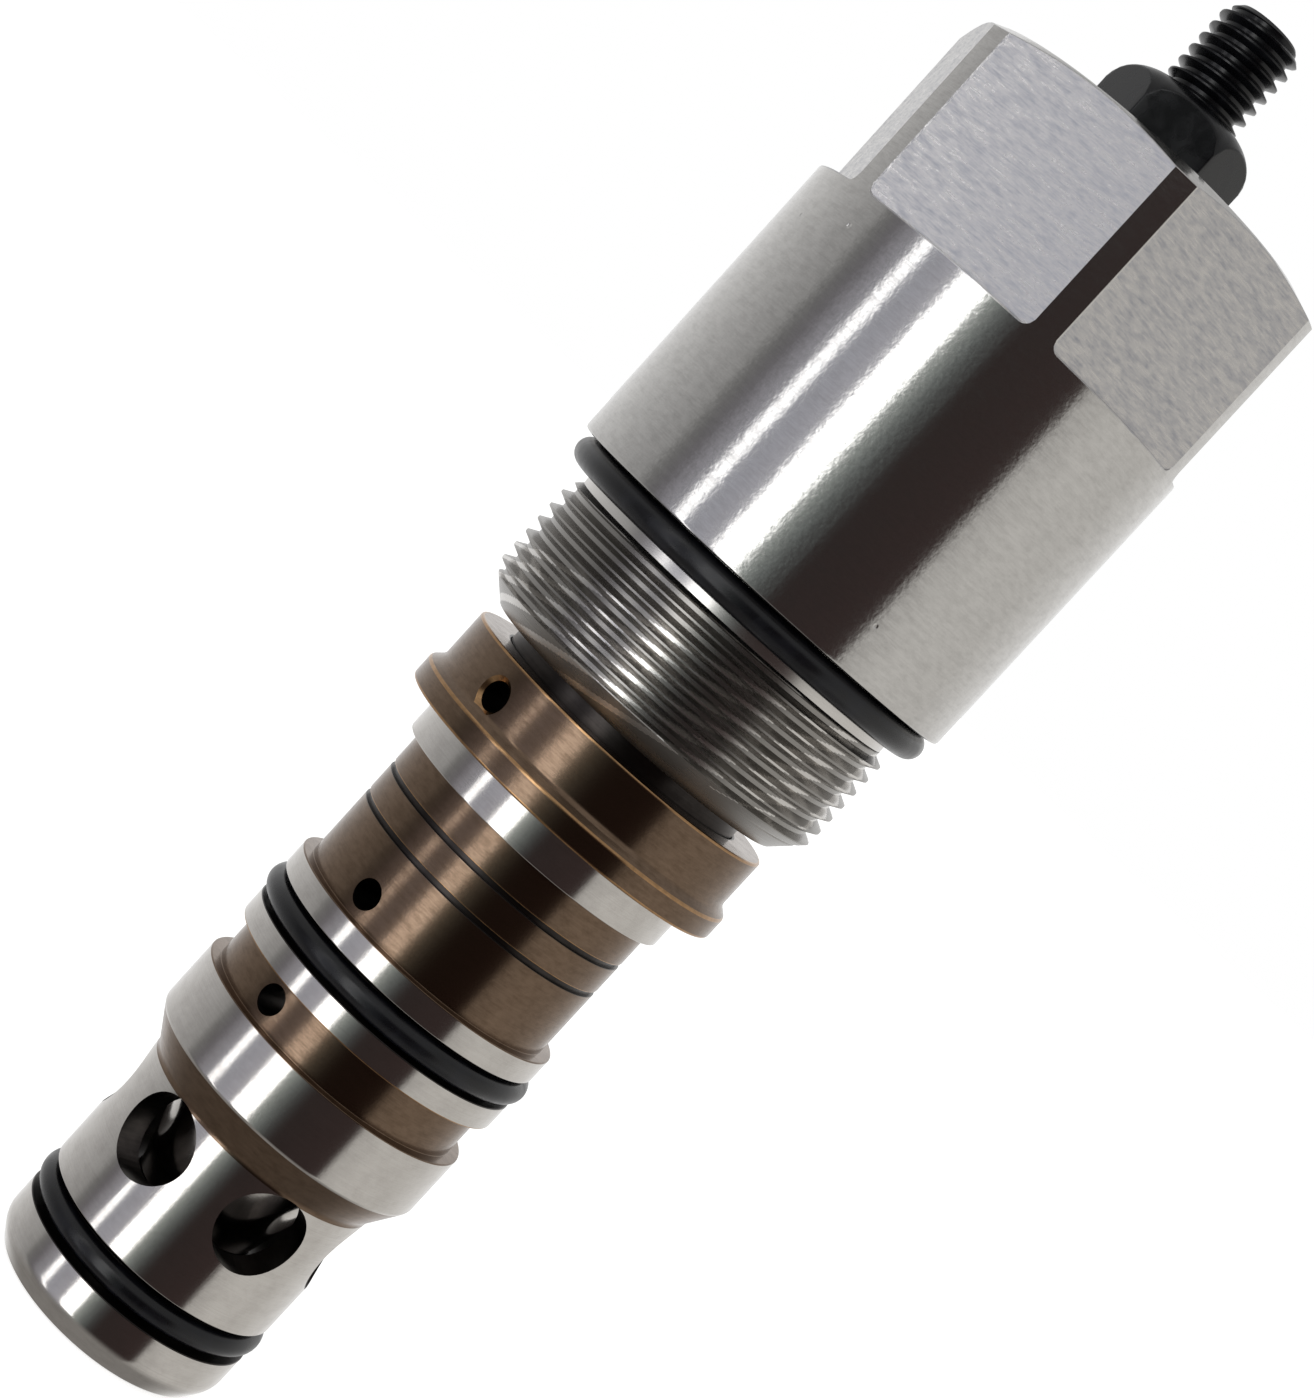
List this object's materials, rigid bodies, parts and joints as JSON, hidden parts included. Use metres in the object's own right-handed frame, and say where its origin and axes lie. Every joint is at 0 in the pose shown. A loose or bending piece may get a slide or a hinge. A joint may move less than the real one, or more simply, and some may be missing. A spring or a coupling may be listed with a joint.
{
  "type": "cartridge relief valve",
  "caption": "Screw-in pilot-operated relief cartridge: hex steel body with fine thread, ported sleeve with ground lands and O-rings, adjusting screw with lock nut.",
  "frame": {"origin": "centre of the sleeve's nose end, which is the lowest point when the valve stands on its nose", "axes": "+Z along the valve's axis from the nose to the adjusting screw, +X through the middle of one of the six nose ports"},
  "size_m": [0.0403, 0.0402, 0.1485],
  "materials": {
    "plated_steel": "fine turned and milled, bright plated",
    "toned_steel": "hardened, bronze-toned, lands ground bright",
    "ground_steel": "hardened and ground",
    "hardened_steel": "hardened, dark turned",
    "black_steel": "black oxide, oiled",
    "spring_steel": "drawn wire",
    "sintered_bronze": "sintered, rough",
    "ptfe": "matt",
    "nitrile_rubber": "moulded, lightly oiled"
  },
  "bodies": {
    "housing": {"valve_body": "plated_steel", "body_o_ring": "nitrile_rubber", "pilot_housing": "hardened_steel", "pilot_housing_o_ring": "nitrile_rubber", "pilot_seat": "ground_steel", "pilot_seat_o_ring": "nitrile_rubber"},
    "valve_sleeve": {"sleeve": "toned_steel", "sleeve_retaining_ring": "spring_steel", "mid_o_ring": "nitrile_rubber", "nose_o_ring": "nitrile_rubber"},
    "main_poppet_group": {"main_poppet": "ground_steel", "poppet_orifice": "hardened_steel", "poppet_screen": "sintered_bronze", "main_spring": "spring_steel"},
    "pilot_poppet_group": {"pilot_poppet": "ground_steel", "pilot_spring": "spring_steel"},
    "plunger_group": {"spring_plunger": "ground_steel", "spring_shim": "spring_steel", "plunger_o_ring": "nitrile_rubber", "plunger_backup_ring": "ptfe"},
    "screw_group": {"adjusting_screw": "black_steel"},
    "seal_group": {"nut_seal": "nitrile_rubber"},
    "nut_group": {"lock_nut": "black_steel"}
  },
  "joints": [
    {"name": "adjuster_travel", "type": "slide", "parent": "housing", "child": "plunger_group", "axis": [0, 0, 1], "range_m": [-0.00375, 0.0025], "deforming": ["pilot_spring"]},
    {"name": "adjuster_turn", "type": "hinge", "parent": "plunger_group", "child": "screw_group", "pos_m": [0, 0, 0.135], "axis": [0, 0, 1], "range_deg": [-1080, 720]},
    {"name": "lock_nut_travel", "type": "slide", "parent": "housing", "child": "seal_group", "axis": [0, 0, 1], "range_m": [0, 0.0025]},
    {"name": "lock_nut_turn", "type": "hinge", "parent": "seal_group", "child": "nut_group", "pos_m": [0, 0, 0.1364], "axis": [0, 0, 1], "range_deg": [0, 720]},
    {"name": "sleeve_swivel", "type": "hinge", "parent": "housing", "child": "valve_sleeve", "pos_m": [0, 0, 0.063], "axis": [0, 0, 1], "continuous": true},
    {"name": "main_poppet_lift", "type": "slide", "parent": "valve_sleeve", "child": "main_poppet_group", "axis": [0, 0, 1], "range_m": [0, 0.004], "stiffness_N_per_m": 2000, "springref_m": -0.005, "deforming": ["main_spring"]},
    {"name": "pilot_poppet_lift", "type": "slide", "parent": "housing", "child": "pilot_poppet_group", "axis": [0, 0, 1], "range_m": [0, 0.0008], "stiffness_N_per_m": 40000, "springref_m": -0.0008, "deforming": ["pilot_spring"]}
  ],
  "couplings": [
    {"joint": "adjuster_turn", "follows": "adjuster_travel", "rad_per_m": 5026.5},
    {"joint": "lock_nut_turn", "follows": "lock_nut_travel", "rad_per_m": 5026.5}
  ]
}
